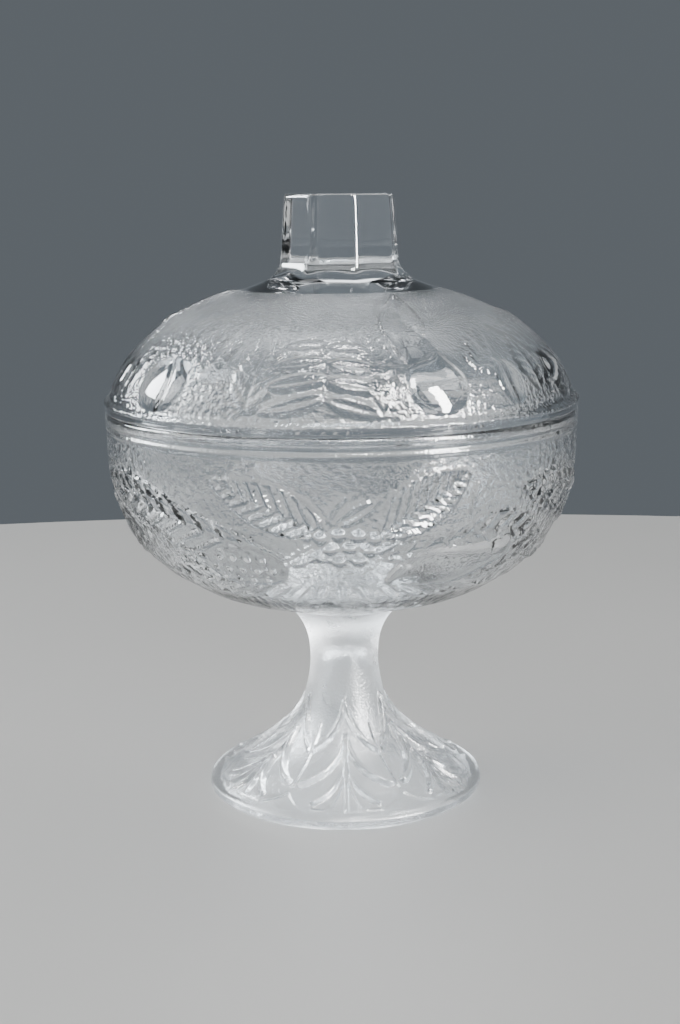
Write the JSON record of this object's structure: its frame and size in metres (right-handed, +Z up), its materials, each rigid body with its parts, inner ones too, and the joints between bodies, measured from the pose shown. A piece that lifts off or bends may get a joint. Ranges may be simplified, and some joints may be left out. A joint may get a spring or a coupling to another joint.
{
  "type": "covered candy dish",
  "caption": "Footed pressed-glass candy dish: round bowl on a hollow pedestal, domed lift-off lid with a faceted knob, leaf and fruit relief all round.",
  "frame": {"origin": "centre of the circle on which the foot stands, at table level", "axes": "+Z up along the axis of the foot, bowl and lid; +X to the viewer's right and -Y towards the viewer of the side shown first"},
  "size_m": [0.148, 0.148, 0.1905],
  "materials": {
    "foot_glass": "satin, lightly frosted pressed glass",
    "bowl_glass": "clear pressed glass with stippled relief",
    "lid_glass": "clear pressed glass with stippled relief, polished knob"
  },
  "bodies": {
    "footed_bowl": {"pedestal_foot": "foot_glass", "bowl": "bowl_glass"},
    "lid": {"lid": "lid_glass"}
  },
  "joints": [
    {"name": "lid_lift", "type": "slide", "parent": "footed_bowl", "child": "lid", "axis": [0, 0, 1], "range_m": [0, 0.1]}
  ]
}
